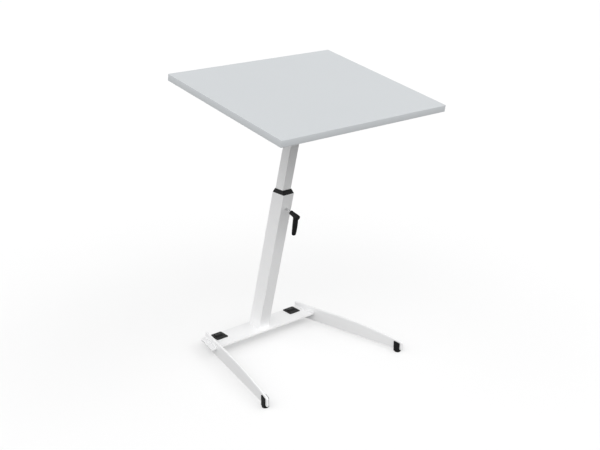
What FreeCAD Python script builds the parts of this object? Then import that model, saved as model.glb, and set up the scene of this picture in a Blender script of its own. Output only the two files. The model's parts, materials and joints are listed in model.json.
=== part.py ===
"""Height adjustable standing desk on one leaning telescopic column.

Frame: X across the desk, Y from the user's side to the back, Z up from the floor.  The origin is on the floor
under the middle of the desk.  Three frames hang from it: the column's, which leans towards the user, the
worktop's, which is centred on the tilt pivot, and the clamping lever's, whose Z axis points out of the column.
"""
import FreeCAD, Part
import Sketcher
import os
import re
from math import asin, cos, radians, sin

DIMENSIONS = {
    # worktop
    "top_width": 700, "top_depth": 600, "board_thick": 23, "band_thick": 2, "slope_angle": 10, "board_shift": 35,
    # tilting head
    "pivot_rise": 40, "bolt_radius": 5, "lug_radius": 16, "lug_width": 30, "washer_thick": 1.5, "ear_thick": 5,
    "bracket_width": 180, "bracket_depth": 150, "bracket_thick": 4, "head_flange": 8, "plug_depth": 20,
    "bush_wall": 1.5, "knob_radius": 20, "knob_thick": 18, "knob_room": 4, "wood_screw_radius": 2.25,
    "wood_screw_length": 18,
    # column
    "column_lean": 15, "column_y": 268, "outer_width": 48, "outer_depth": 60, "outer_wall": 2.5,
    "outer_length": 592, "tube_round": 2, "inner_wall": 2, "inner_length": 542, "inner_overlap": 226,
    "side_room": 3, "front_room": 12, "rear_room": 3, "slide_gap": 0.3, "collar_height": 15, "collar_skirt": 34,
    "collar_land": 1.5, "guide_height": 40, "guide_lip": 4,
    # gas spring
    "pin_radius": 4, "upper_pin_drop": 36, "lower_pin_along": 34, "cylinder_radius": 11, "cylinder_wall": 1.5,
    "cylinder_length": 464, "cylinder_cap": 4, "rod_radius": 4, "rod_inside": 140, "piston_thick": 12,
    "eye_thick": 10, "seal_thick": 15, "foot_block_height": 50,
    # clamping lever
    "lever_drop": 51, "stud_radius": 4, "hub_from": 26, "hub_radius": 9.5, "hub_height": 42,
    "handle_reach": 76, "handle_cant": 6, "handle_rise": 28, "insert_radius": 6.5, "insert_height": 18,
    "nut_radius": 9, "nut_thick": 5, "pad_radius": 8,
    # base
    "plate_depth": 100, "plate_thick": 6, "plate_top": 45, "plate_overhang": 21, "plate_round": 8,
    "rear_edge": 311.8, "leg_thick": 9, "leg_splay": 11.6, "leg_rear_x": 215, "leg_inset": 3.8, "leg_length": 508,
    "leg_bottom": 11, "leg_height": 56, "leg_flat": 194, "leg_drop": 23.6, "leg_nose": 9,
    "base_screw_radius": 3, "base_screw_x": 13, "base_screw_y": 15,
    # front glides
    "shoe_setback": 10, "shoe_length": 24, "shoe_wall": 5, "shoe_height": 41, "glide_thick": 3, "glide_radius": 11,
    # castors
    "castor_x": 175, "castor_inset": 1.8, "cap_rim": 5, "cap_thick": 2.5, "cap_crown": 3, "cap_corner": 5,
    "wheel_room": 5,
    "wheel_width": 18, "hub_share": 0.7, "axle_radius": 3, "cheek_thick": 6, "side_gap": 1,
    # fits
    "fit_gap": 0.1, "running_gap": 0.05,
}

# sizes that follow from the ones above
FOLLOWING = {
    "inner_width": "outer_width - 2*outer_wall - 2*side_room",
    "inner_depth": "outer_depth - 2*outer_wall - front_room - rear_room",
    "inner_setback": "(front_room - rear_room)/2",
    "inner_from": "outer_length - inner_overlap",
    "inner_to": "inner_from + inner_length",
    "pivot_along": "inner_to + pivot_rise",
    "pivot_drop": "knob_radius + knob_room + bracket_thick",
    "upper_pin_along": "inner_to - upper_pin_drop",
    "cylinder_from": "upper_pin_along - 8 - cylinder_length",
    "rod_to": "cylinder_from + rod_inside",
    "lever_along": "outer_length - lever_drop",
    "pad_thick": "front_room - nut_thick - 0.4",
    "leg_rear_y": "rear_edge - leg_inset",
    "leg_arc": "((leg_length - leg_flat)^2 + leg_drop^2)/(2*leg_drop)",
    "shoe_from": "leg_length - shoe_setback - shoe_length",
    "wheel_radius": "(plate_top - wheel_room)/2",
    "castor_cap": "2*wheel_radius + 2*cap_rim",
    "castor_y": "rear_edge - castor_cap/2 - castor_inset",
}

doc = FreeCAD.newDocument("standing_desk")
sheet = doc.addObject("Spreadsheet::Sheet", "dims")
for row, (alias, value) in enumerate(list(DIMENSIONS.items()) + list(FOLLOWING.items()), start=1):
    sheet.set("A%d" % row, alias)
    sheet.set("B%d" % row, "=" + value if alias in FOLLOWING else str(value))
    sheet.setAlias("B%d" % row, alias)
doc.recompute()

nodes = []

COLUMN = "placement(vector(0; column_y; plate_top); rotation(vector(1; 0; 0); column_lean))"
LEVER = COLUMN + " * placement(vector(0; -outer_depth/2; lever_along); rotation(vector(1; 0; 0); 90))"
WORKTOP = (COLUMN + " * placement(vector(0; inner_setback; pivot_along);"
           " rotation(vector(1; 0; 0); slope_angle - column_lean))")
CROSSWISE = "rotation(vector(0; 1; 0); 90)"
UPRIGHT = "rotation(vector(0; 0; 1); 0)"


def cells(text):
    """Point each dimension's name in an expression at its cell."""
    def cell(word):
        name = word.group(0)
        return "dims." + name if name in DIMENSIONS or name in FOLLOWING else name
    return re.sub(r"[A-Za-z_]+", cell, text)


def bind(obj, **expressions):
    for prop, text in expressions.items():
        obj.setExpression(prop, cells(str(text)))
    return obj


def at(x, y, z, turn=UPRIGHT):
    return "placement(vector(%s; %s; %s); %s)" % (x, y, z, turn)


def box(name, length, width, height, x, y, z, turn=UPRIGHT):
    """A box centred on x and y, standing on z."""
    place = at(x, y, z, turn) + " * " + at("-(%s)/2" % length, "-(%s)/2" % width, 0)
    return bind(doc.addObject("Part::Box", name), Length=length, Width=width, Height=height, Placement=place)


def rod(name, radius, height, x, y, z, turn=UPRIGHT):
    return bind(doc.addObject("Part::Cylinder", name), Radius=radius, Height=height, Placement=at(x, y, z, turn))


def cross_rod(name, radius, length, y, z):
    """A cylinder along X, centred on the middle plane."""
    return rod(name, radius, length, "-(%s)/2" % length, y, z, CROSSWISE)


def round_edges(name, base, radius, test):
    """Fillet the edges of base that pass the test."""
    doc.recompute()
    rounded = doc.addObject("Part::Fillet", name)
    rounded.Base = base
    rounded.Edges = [(i, radius, radius) for i, edge in enumerate(base.Shape.Edges, start=1) if test(edge)]
    return rounded


def along_axis(axis):
    """A test for straight edges that run along one of the object's own axes, given by number."""
    def test(edge):
        if not isinstance(edge.Curve, Part.Line):
            return False
        return abs(abs(edge.Curve.Direction[axis]) - 1) < 1e-6
    return test


def size(alias):
    return float(sheet.get(alias))


def cut(name, base, *tools):
    for index, tool in enumerate(tools):
        step = doc.addObject("Part::Cut", "%s_cut_%d" % (name, index))
        step.Base, step.Tool = base, tool
        base = step
    return base


def fuse(name, *pieces):
    whole = doc.addObject("Part::MultiFuse", name + "_whole")
    whole.Shapes = list(pieces)
    return whole


def node(obj, label, frame=None):
    """Name a finished sub-part and put it in its frame."""
    obj.Label = label
    own = dict(obj.ExpressionEngine).get("Placement")
    if frame and own:
        obj.setExpression("Placement", "%s * %s" % (cells(frame), own))
    elif frame:
        bind(obj, Placement=frame)
    nodes.append(obj)
    return obj


def group(label, pieces, frame=None):
    """One node that holds several separate, like solids."""
    together = doc.addObject("Part::Compound", label + "_set")
    together.Links = pieces
    return node(together, label, frame)


def tube_section(name, width, depth, radius, y, z_from, z_to):
    """A rounded rectangular bar along Z."""
    bar = box(name, width, depth, "(%s) - (%s)" % (z_to, z_from), 0, y, z_from)
    return round_edges(name + "_round", bar, radius, along_axis(2))


def sketch_on(body, role, name):
    sketch = body.newObject("Sketcher::SketchObject", name)
    plane = next(o for o in body.Origin.OriginFeatures if o.Role == role)
    sketch.AttachmentSupport = [(plane, "")]
    sketch.MapMode = "FlatFace"
    return sketch


def outline(sketch, points):
    """A closed outline of straight sides through points, each given as two expressions."""
    count = len(points)
    for i in range(count):
        # the solver moves these starting points to the bound places
        start = FreeCAD.Vector(10 * (i in (1, 2)), 10 * (i in (2, 3)), 0)
        end_index = (i + 1) % count
        end = FreeCAD.Vector(10 * (end_index in (1, 2)), 10 * (end_index in (2, 3)), 0)
        sketch.addGeometry(Part.LineSegment(start, end), False)
    for i in range(count):
        sketch.addConstraint(Sketcher.Constraint("Coincident", i, 2, (i + 1) % count, 1))
    for i, (across, up) in enumerate(points):
        fix_point(sketch, i, 1, across, up, FreeCAD.Vector(10 * (i in (1, 2)), 10 * (i in (2, 3)), 0))


def fix_point(sketch, side, end, across, up, start):
    """Bind one end of a side to two expressions, given where it starts."""
    for kind, text, value in (("DistanceX", across, start.x), ("DistanceY", up, start.y)):
        index = sketch.addConstraint(Sketcher.Constraint(kind, -1, 1, side, end, value))
        sketch.setExpression("Constraints[%d]" % index, cells(text))


def pad_body(name, role, points, length, midplane=True):
    """A PartDesign body: one outline padded by length, on both sides of its plane or upwards."""
    body = doc.addObject("PartDesign::Body", name)
    sketch = sketch_on(body, role, name + "_outline")
    outline(sketch, points)
    pad = body.newObject("PartDesign::Pad", name + "_pad")
    pad.Profile = sketch
    pad.Midplane = midplane
    bind(pad, Length=length)
    doc.recompute()
    return body


def round_body(body, name, radius, test):
    """Fillet a body's edges that pass the test."""
    tip = body.Tip
    edges = ["Edge%d" % i for i, edge in enumerate(tip.Shape.Edges, start=1) if test(edge)]
    fillet = body.newObject("PartDesign::Fillet", name)
    fillet.Base = (tip, edges)
    bind(fillet, Radius=radius)
    doc.recompute()
    return body


# ---------------------------------------------------------------- worktop

def make_board():
    """Chipboard panel and the four strips that edge it."""
    core = pad_body("board_core", "XY_Plane",
                    [("-top_width/2 + band_thick", "-top_depth/2 + band_thick"),
                     ("top_width/2 - band_thick", "-top_depth/2 + band_thick"),
                     ("top_width/2 - band_thick", "top_depth/2 - band_thick"),
                     ("-top_width/2 + band_thick", "top_depth/2 - band_thick")], "board_thick", midplane=False)
    holes = [rod("board_pilot_%d" % i, "wood_screw_radius + running_gap", "wood_screw_length - bracket_thick + 1",
                 x, y + " + board_shift", -1) for i, (x, y) in enumerate(bracket_screw_places())]
    node(cut("board", core, *holes), "top_board", WORKTOP + " * " + at(0, "-board_shift", "pivot_drop"))
    strips = []
    for side, sign in (("front", "-"), ("rear", "")):
        strips.append(box("band_" + side, "top_width", "band_thick", "board_thick",
                          0, sign + "(top_depth/2 - band_thick/2)", 0))
    for side, sign in (("left", "-"), ("right", "")):
        strips.append(box("band_" + side, "band_thick", "top_depth - 2*band_thick", "board_thick",
                          sign + "(top_width/2 - band_thick/2)", 0, 0))
    group("edge_bands", strips, WORKTOP + " * " + at(0, "-board_shift", "pivot_drop"))


def bracket_screw_places():
    """Where the bracket's six screws go, as x and y in the worktop's frame."""
    return [("%s*(bracket_width/2 - 14)" % x, "%s*(bracket_depth/2 - 14)" % y) for x in (-1, 0, 1) for y in (-1, 1)]


def make_bracket():
    """Steel plate under the board with two welded ears that hold the pivot bolt."""
    plate = box("bracket_plate", "bracket_width", "bracket_depth", "bracket_thick", 0, 0,
                "pivot_drop - bracket_thick")
    pieces = [round_edges("bracket_plate_round", plate, 12, along_axis(2))]
    for side in (-1, 1):
        name = "ear_left" if side < 0 else "ear_right"
        x = "%d*(lug_width/2 + washer_thick + ear_thick/2)" % side
        pieces.append(box(name, "ear_thick", "3.2*lug_radius", "pivot_drop - bracket_thick - 8", x, 0, 8))
        pieces.append(rod(name + "_end", "lug_radius", "ear_thick", x + " - ear_thick/2", 0, 0, CROSSWISE))
        pieces.append(box(name + "_web", "ear_thick", "2*lug_radius", 9, x, 0, 0))
    holes = [rod("bracket_hole_%d" % i, "wood_screw_radius + fit_gap", 20, x, y, "pivot_drop - 12")
             for i, (x, y) in enumerate(bracket_screw_places())]
    holes.append(cross_rod("bracket_bore", "bolt_radius + running_gap", 100, 0, 0))
    node(cut("bracket", fuse("bracket", *pieces), *holes), "tilt_bracket", WORKTOP)


def make_board_screws():
    """Six pan-head screws from the bracket up into the board."""
    screws = []
    for i, (x, y) in enumerate(bracket_screw_places()):
        under = "pivot_drop - bracket_thick"
        shank = rod("board_shank_%d" % i, "wood_screw_radius", "wood_screw_length", x, y, under)
        head = rod("board_head_%d" % i, "2*wood_screw_radius", 2.6, x, y, under + " - 2.6")
        screws.append(fuse("board_screw_%d" % i, shank, head))
    group("board_screws", screws, WORKTOP)


def make_pivot():
    """The pivot bolt, its nylon bushes and friction washers, and the star knob that clamps them."""
    outside = "(lug_width/2 + washer_thick + ear_thick)"
    shank = rod("bolt_shank", "bolt_radius", "2*%s + 2 + knob_thick" % outside, "-%s" % outside, 0, 0, CROSSWISE)
    head = bind(doc.addObject("Part::Prism", "bolt_head"), Circumradius="1.85*bolt_radius", Height="1.3*bolt_radius",
                Placement=at("-%s - 1.3*bolt_radius" % outside, 0, 0, CROSSWISE))
    head.Polygon = 6
    node(fuse("bolt", shank, head), "pivot_bolt", WORKTOP)

    bushes, washers = [], []
    for side in (-1, 1):
        name = "left" if side < 0 else "right"
        bush = rod("bush_" + name, "bolt_radius + running_gap + bush_wall", "lug_width/2 - 3",
                   "%d*(lug_width/4 + 1.5) - (lug_width/4 - 1.5)" % side, 0, 0, CROSSWISE)
        bush_bore = cross_rod("bush_bore_" + name, "bolt_radius + running_gap", 100, 0, 0)
        bushes.append(cut("bush_" + name, bush, bush_bore))
        washer = rod("washer_" + name, "lug_radius - 3", "washer_thick - 0.2",
                     "%d*(lug_width/2 + washer_thick/2) - (washer_thick - 0.2)/2" % side, 0, 0, CROSSWISE)
        washer_bore = cross_rod("washer_bore_" + name, "bolt_radius + fit_gap", 100, 0, 0)
        washers.append(cut("washer_" + name, washer, washer_bore))
    group("pivot_bushes", bushes, COLUMN + " * " + at(0, "inner_setback", "pivot_along"))
    group("friction_washers", washers, WORKTOP)

    plain = rod("knob_washer_disc", "2*bolt_radius", 1.6, outside, 0, 0, CROSSWISE)
    bore = rod("knob_washer_bore", "bolt_radius + fit_gap", 10, "%s - 1" % outside, 0, 0, CROSSWISE)
    node(cut("knob_washer", plain, bore), "knob_washer", WORKTOP)

    core = rod("knob_core", "0.72*knob_radius", "knob_thick", "%s + 2" % outside, 0, 0, CROSSWISE)
    lobes = []
    for i in range(5):
        turn = "rotation(vector(1; 0; 0); %d)" % (72 * i)
        place = at("%s + 2" % outside, 0, 0, turn) + " * " + at(0, "0.68*knob_radius", 0, CROSSWISE)
        lobes.append(bind(doc.addObject("Part::Cylinder", "knob_lobe_%d" % i), Radius="0.32*knob_radius",
                          Height="knob_thick - 4", Placement=place))
    bore = rod("knob_bore", "bolt_radius + running_gap", 60, outside, 0, 0, CROSSWISE)
    node(cut("knob", fuse("knob", core, *lobes), bore), "tilt_knob", WORKTOP)


# ---------------------------------------------------------------- column

def make_outer_tube():
    """Rectangular steel tube, cut level at both ends, with a hole for the clamping stud in front."""
    outer = tube_section("outer_bar", "outer_width", "outer_depth", size("tube_round"), 0, -20, "outer_length + 20")
    inner = tube_section("outer_hollow", "outer_width - 2*outer_wall", "outer_depth - 2*outer_wall",
                         max(size("tube_round") - size("outer_wall"), 0.5), 0, -30, "outer_length + 30")
    stud_hole = rod("stud_hole", "stud_radius + 0.2", "outer_depth/2", 0, 0, "lever_along",
                    "rotation(vector(1; 0; 0); 90)")
    ends = (below_plate("outer_foot_cut"), above_tube("outer_top_cut"))
    node(cut("outer", outer, inner, stud_hole, *ends), "outer_tube", COLUMN)


def below_plate(name):
    """Everything under the level top of the plate, in the column's own frame."""
    place = at(0, 0, 0, "rotation(vector(1; 0; 0); -column_lean)") + " * " + at(-100, -150, -80)
    return bind(doc.addObject("Part::Box", name), Length=200, Width=300, Height=80, Placement=place)


def tube_top():
    """The level frame where the column's axis meets the top of the outer tube."""
    return at(0, 0, "outer_length", "rotation(vector(1; 0; 0); -column_lean)")


def above_tube(name):
    """Everything over the level top of the outer tube, in the column's own frame."""
    place = tube_top() + " * " + at(-100, -150, 0)
    return bind(doc.addObject("Part::Box", name), Length=200, Width=300, Height=80, Placement=place)


def make_collar():
    """Black guide collar: a tapered rim, level with the tube's top, and a skirt that reaches down inside it."""
    half_x = "(inner_width/2 + collar_land)"
    half_y = "(inner_depth/2/cos(column_lean) + collar_land)"
    ahead = "(collar_height*tan(column_lean) - inner_setback/cos(column_lean))"
    # a wedge's taper runs along its Y, and its Z points to the front once it stands up
    rim = bind(doc.addObject("Part::Wedge", "collar_rim"), Xmin="-outer_width/2", Xmax="outer_width/2", Ymin=0,
               Ymax="collar_height", Zmin="-outer_depth/2/cos(column_lean)", Zmax="outer_depth/2/cos(column_lean)",
               X2min="-" + half_x, X2max=half_x, Z2min=ahead + " - " + half_y, Z2max=ahead + " + " + half_y,
               Placement=tube_top() + " * " + at(0, 0, 0, "rotation(vector(1; 0; 0); 90)"))
    rim = round_edges("collar_rim_round", rim, size("tube_round"),
                      lambda edge: abs(edge.tangentAt(edge.FirstParameter).z) > 0.5)
    inset = " - 2*outer_wall - 2*fit_gap"
    skirt = tube_section("collar_skirt_bar", "outer_width" + inset, "outer_depth" + inset, 1, 0,
                         "outer_length - collar_skirt", "outer_length + 20")
    skirt = cut("collar_skirt", skirt, above_tube("collar_skirt_top"))
    hole = tube_section("collar_hole", "inner_width + 2*slide_gap", "inner_depth + 2*slide_gap",
                        size("tube_round") - 0.5, "inner_setback", "outer_length - collar_skirt - 5",
                        "outer_length + collar_height + 20")
    node(cut("collar", fuse("collar", rim, skirt), hole), "guide_collar", COLUMN)


def make_inner_tube():
    """Inner mast, with a cross hole for the gas spring's upper pin."""
    outer = tube_section("inner_bar", "inner_width", "inner_depth", size("tube_round") - 0.5, "inner_setback",
                         "inner_from", "inner_to")
    hollow = tube_section("inner_hollow", "inner_width - 2*inner_wall", "inner_depth - 2*inner_wall", 1,
                          "inner_setback", "inner_from - 5", "inner_to + 5")
    hole = cross_rod("inner_pin_hole", "pin_radius + running_gap", 100, "inner_setback", "upper_pin_along")
    node(cut("inner", outer, hollow, hole), "inner_tube", COLUMN)


def make_lower_guide():
    """Plastic shoe on the inner tube's foot, which slides in the outer tube."""
    ring = tube_section("guide_ring", "outer_width - 2*outer_wall - 2*slide_gap",
                        "outer_depth - 2*outer_wall - 2*slide_gap", 1, 0,
                        "inner_from - guide_lip", "inner_from - guide_lip + guide_height")
    seat = box("guide_seat", "inner_width + 2*fit_gap", "inner_depth + 2*fit_gap", "guide_height", 0,
               "inner_setback", "inner_from")
    through = box("guide_through", "inner_width - 2*inner_wall", "inner_depth - 2*inner_wall", 100, 0,
                  "inner_setback", "inner_from - 50")
    node(cut("guide", ring, seat, through), "lower_guide", COLUMN)


def make_head():
    """Cast head: a plug in the inner tube, a flange on its end, and the lug that carries the board."""
    inset = " - 2*inner_wall - 2*fit_gap"
    plug = tube_section("head_plug", "inner_width" + inset, "inner_depth" + inset, 1, "inner_setback",
                        "inner_to - plug_depth", "inner_to")
    flange = tube_section("head_flange_bar", "inner_width", "inner_depth", size("tube_round") - 0.5, "inner_setback",
                          "inner_to", "inner_to + head_flange")
    neck = box("head_neck", "lug_width", "2*lug_radius", "pivot_along - inner_to - head_flange", 0, "inner_setback",
               "inner_to + head_flange")
    lug = cross_rod("head_lug", "lug_radius", "lug_width", "inner_setback", "pivot_along")
    bore = cross_rod("head_bore", "bolt_radius + 2*running_gap + bush_wall", 100, "inner_setback", "pivot_along")
    node(cut("head", fuse("head", plug, flange, neck, lug), bore), "tilt_head", COLUMN)


def make_gas_spring():
    """Gas spring: the cylinder hangs from the inner tube, the rod stands on the foot block."""
    top = "(upper_pin_along - 8)"
    y = "inner_setback"
    shell = rod("cylinder_bar", "cylinder_radius", "%s - cylinder_from" % top, 0, y, "cylinder_from")
    bore = rod("cylinder_bore", "cylinder_radius - cylinder_wall", "%s - cylinder_cap - cylinder_from + 1" % top,
               0, y, "cylinder_from - 1")
    eye = cross_rod("cylinder_eye", 10, "eye_thick", y, "upper_pin_along")
    pin_hole = cross_rod("cylinder_pin_hole", "pin_radius + running_gap", 60, y, "upper_pin_along")
    node(cut("cylinder", fuse("cylinder", shell, eye), bore, pin_hole), "gas_spring_cylinder", COLUMN)

    seal = rod("seal_bar", "cylinder_radius - cylinder_wall - running_gap", "seal_thick", 0, y, "cylinder_from")
    seal_bore = rod("seal_bore", "rod_radius + running_gap", 100, 0, y, "cylinder_from - 20")
    node(cut("seal", seal, seal_bore), "gas_spring_seal", COLUMN)

    shaft = rod("rod_shaft", "rod_radius", "rod_to - lower_pin_along - 6", 0, y, "lower_pin_along + 6")
    piston = rod("rod_piston", "cylinder_radius - cylinder_wall - slide_gap", "piston_thick", 0, y,
                 "rod_to - piston_thick")
    rod_eye = cross_rod("rod_eye", 9, "eye_thick", y, "lower_pin_along")
    eye_hole = cross_rod("rod_eye_hole", "pin_radius + running_gap", 60, y, "lower_pin_along")
    node(cut("rod", fuse("rod", shaft, piston, rod_eye), eye_hole), "gas_spring_rod", COLUMN)

    node(cross_rod("upper_pin_bar", "pin_radius", "inner_width", y, "upper_pin_along"), "upper_pin", COLUMN)
    node(cross_rod("lower_pin_bar", "pin_radius", "outer_width - 2*outer_wall - 1", y, "lower_pin_along"),
         "lower_pin", COLUMN)


def make_foot_block():
    """Steel block in the column's foot: it takes the gas spring's lower pin and the screws from below."""
    inset = " - 2*outer_wall - 2*fit_gap"
    block = tube_section("foot_bar", "outer_width" + inset, "outer_depth" + inset, 1, 0, -20, "foot_block_height")
    slot = box("foot_slot", "eye_thick + 1", "outer_depth", 60, 0, 0, "lower_pin_along - 12")
    pin_hole = cross_rod("foot_pin_hole", "pin_radius + running_gap", 80, "inner_setback", "lower_pin_along")
    upright = "rotation(vector(1; 0; 0); -column_lean)"
    holes = []
    for i, (x, y) in enumerate(base_screw_places()):
        place = at(0, 0, 0, upright) + " * " + at(x, y, -10)
        holes.append(bind(doc.addObject("Part::Cylinder", "foot_thread_%d" % i), Placement=place,
                          Radius="base_screw_radius + running_gap", Height=27))
    node(cut("foot", block, slot, pin_hole, below_plate("foot_level"), *holes), "foot_block", COLUMN)


def base_screw_places():
    """Where the four base screws go, as x and y from the column's foot."""
    return [("%d*base_screw_x" % x, "%d*base_screw_y" % y) for x in (-1, 1) for y in (-1, 1)]


def make_base_screws():
    screws = []
    for i, (x, y) in enumerate(base_screw_places()):
        place = (x, "column_y + " + y)
        shank = rod("base_shank_%d" % i, "base_screw_radius", "plate_thick + 16", *place, "plate_top - plate_thick")
        head = rod("base_head_%d" % i, "1.8*base_screw_radius", 4, *place, "plate_top - plate_thick - 4")
        socket = bind(doc.addObject("Part::Prism", "base_socket_%d" % i), Circumradius="base_screw_radius - 0.3",
                      Height=3, Placement=at(*place, "plate_top - plate_thick - 5"))
        socket.Polygon = 6
        screws.append(cut("base_screw_%d" % i, fuse("base_screw_%d" % i, shank, head), socket))
    group("column_screws", screws)


# ---------------------------------------------------------------- clamping lever

def make_lever():
    """Adjustable clamping lever: a stud through the front of the column, and a handle that lifts to re-index."""
    inward = "(outer_depth/2 - (inner_depth/2 - inner_setback))"

    nut = bind(doc.addObject("Part::Prism", "nut_body"), Circumradius="nut_radius", Height="nut_thick",
               Placement=at(0, 0, "-outer_wall - nut_thick"))
    nut.Polygon = 6
    nut_bore = rod("nut_bore", "stud_radius + running_gap", 40, 0, 0, -30)
    node(cut("nut", nut, nut_bore), "weld_nut", LEVER)

    node(rod("pad_disc", "pad_radius", "pad_thick", 0, 0, "-%s + 0.2" % inward), "pressure_pad", LEVER)

    stud = rod("stud_bar", "stud_radius", "%s - 0.2 - pad_thick + hub_from + insert_height + 10" % inward, 0, 0,
               "-%s + 0.2 + pad_thick" % inward)
    thread_end = rod("stud_screw_hole", "2.5 + running_gap", 40, 0, 0, "hub_from + insert_height")
    node(cut("stud", stud, thread_end), "clamp_stud", LEVER)

    insert = bind(doc.addObject("Part::Prism", "insert_body"), Circumradius="insert_radius", Height="insert_height",
                  Placement=at(0, 0, "hub_from + 2"))
    insert.Polygon = 14
    insert_bore = rod("insert_bore", "stud_radius", 80, 0, 0, "hub_from - 10")
    node(cut("insert", insert, insert_bore), "serrated_insert", LEVER)

    hub_top = "hub_from + hub_height"
    screw_shank = rod("retainer_shank", 2.5, "hub_height - insert_height - 4", 0, 0, "hub_from + insert_height + 1")
    screw_head = rod("retainer_head", 5, 3, 0, 0, hub_top + " - 3")
    screw_slot = bind(doc.addObject("Part::Prism", "retainer_socket"), Circumradius=2, Height=5,
                      Placement=at(0, 0, hub_top + " - 2"))
    screw_slot.Polygon = 6
    node(cut("retainer", fuse("retainer", screw_shank, screw_head), screw_slot), "retaining_screw", LEVER)

    cone = bind(doc.addObject("Part::Cone", "hub_cone"), Radius1="hub_radius - 1.2", Radius2="hub_radius",
                Height="hub_height", Placement=at(0, 0, "hub_from"))
    arm = handle_arm()
    screw_well = rod("handle_well", 5.3, 60, 0, 0, hub_top + " - 16")
    seat = rod("handle_seat", "insert_radius + slide_gap", "insert_height + 3.4", 0, 0, "hub_from - 1")
    through = rod("handle_bore", "stud_radius + slide_gap", 90, 0, 0, "hub_from - 20")
    node(cut("handle", fuse("handle", cone, arm), screw_well, seat, through), "lever_handle", LEVER)


def handle_arm():
    """The arm: an oval section that leaves the hub, turns down and thins towards a rounded tip."""
    reach, rise, lean = size("handle_reach"), size("handle_rise"), radians(size("handle_cant"))
    stations = 7
    wires = []
    for i in range(stations):
        share = i / (stations - 1.0)
        down = reach * share
        out = size("hub_from") + rise + 6 * share * (1 - share) + reach * share * lean
        half_wide = 8.8 + 9.0 * share * (1 - share) - 1.3 * share
        half_thick = 8.4 - 2.9 * share
        oval = Part.Ellipse(FreeCAD.Vector(0, 0, 0), half_wide, half_thick).toShape()
        # the section stands across the arm: its long axis along X, its normal down the arm
        across_arm = FreeCAD.Rotation(FreeCAD.Vector(1, 0, 0), 90)
        oval.Placement = FreeCAD.Placement(FreeCAD.Vector(0, -down, out), across_arm)
        wires.append(Part.Wire([oval]))
    arm = doc.addObject("Part::Feature", "handle_arm")
    arm.Shape = Part.makeLoft(wires, True)
    return arm


# ---------------------------------------------------------------- base

def make_plate():
    """Level cross plate; its ends run parallel to the legs and stand out beyond them."""
    reach = "(plate_overhang + leg_thick/2)/cos(leg_splay)"
    rear = "(leg_rear_x - (rear_edge - leg_rear_y)*tan(leg_splay) + %s)" % reach
    front = "(leg_rear_x + (leg_rear_y - rear_edge + plate_depth)*tan(leg_splay) + %s)" % reach
    front_y = "rear_edge - plate_depth"
    body = pad_body("plate", "XY_Plane", [("-" + front, front_y), (front, front_y), (rear, "rear_edge"),
                                          ("-" + rear, "rear_edge")], "plate_thick", midplane=False)
    round_body(body, "plate_corners", "plate_round", along_axis(2))
    tools = [rod("plate_hole_%d" % i, "base_screw_radius + fit_gap", 40, x, "column_y + " + y, -20)
             for i, (x, y) in enumerate(base_screw_places())]
    for side in (-1, 1):
        name = "castor_window_left" if side < 0 else "castor_window_right"
        tools.append(box(name, castor_window_x(), castor_window_y(), 40, "%d*castor_x" % side, "castor_y", -20))
    node(cut("plate", body, *tools), "cross_plate", at(0, 0, "plate_top - plate_thick"))


def make_leg(side):
    """Upright flat bar, slotted at the rear for the cross plate and arched down to a rounded nose."""
    name = "leg_left" if side < 0 else "leg_right"
    body = doc.addObject("PartDesign::Body", name + "_bar")
    sketch = sketch_on(body, "YZ_Plane", name + "_outline")
    corners = [("0", "leg_bottom"), ("-leg_length", "leg_bottom"),
               ("-leg_length", "leg_bottom + leg_height - leg_drop"), ("-leg_flat", "leg_bottom + leg_height"),
               ("0", "leg_bottom + leg_height")]
    front, low, high = -size("leg_length"), size("leg_bottom"), size("leg_bottom") + size("leg_height")
    flat, arc_radius, front_top = -size("leg_flat"), size("leg_arc"), high - size("leg_drop")
    starts = [FreeCAD.Vector(0, low, 0), FreeCAD.Vector(front, low, 0), FreeCAD.Vector(front, front_top, 0),
              FreeCAD.Vector(flat, high, 0), FreeCAD.Vector(0, high, 0)]
    half_turn = asin((flat - front) / arc_radius) / 2
    crest = FreeCAD.Vector(flat - arc_radius * sin(half_turn), high - arc_radius * (1 - cos(half_turn)), 0)
    sketch.addGeometry(Part.LineSegment(starts[0], starts[1]), False)
    sketch.addGeometry(Part.LineSegment(starts[1], starts[2]), False)
    sketch.addGeometry(Part.Arc(starts[3], crest, starts[2]), False)
    sketch.addGeometry(Part.LineSegment(starts[3], starts[4]), False)
    sketch.addGeometry(Part.LineSegment(starts[4], starts[0]), False)
    # each corner joins the end of one side to the end of another; 1 is a side's start and 2 its end
    for first, first_end, second, second_end in ((0, 2, 1, 1), (1, 2, 2, 2), (2, 1, 3, 1), (3, 2, 4, 1), (4, 2, 0, 1)):
        sketch.addConstraint(Sketcher.Constraint("Coincident", first, first_end, second, second_end))
    # the sides that start at the corners, in order
    for (across, up), (side_index, end), start in zip(corners, ((0, 1), (1, 1), (2, 2), (3, 1), (4, 1)), starts):
        fix_point(sketch, side_index, end, across, up, start)
    radius_index = sketch.addConstraint(Sketcher.Constraint("Radius", 2, arc_radius))
    sketch.setExpression("Constraints[%d]" % radius_index, cells("leg_arc"))
    pad = body.newObject("PartDesign::Pad", name + "_pad")
    pad.Profile = sketch
    pad.Midplane = True
    bind(pad, Length="leg_thick")
    doc.recompute()
    round_body(body, name + "_nose", "leg_nose",
               lambda edge: abs(edge.CenterOfMass.y - front) < 1e-3 and abs(edge.CenterOfMass.z - front_top) < 1e-3)
    round_body(body, name + "_front_edges", "leg_thick/2 - 0.6", lambda edge: leg_front_edge(edge, front))
    depth = "((leg_rear_y - rear_edge + plate_depth)/cos(leg_splay) + leg_thick/2*tan(leg_splay) + slide_gap)"
    slot = box(name + "_slot", "leg_thick + 2", depth + " + 10", "plate_thick", 0, "5 - %s/2" % depth,
               "plate_top - plate_thick")
    node(cut(name, body, slot), name, leg_frame(side))


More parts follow.
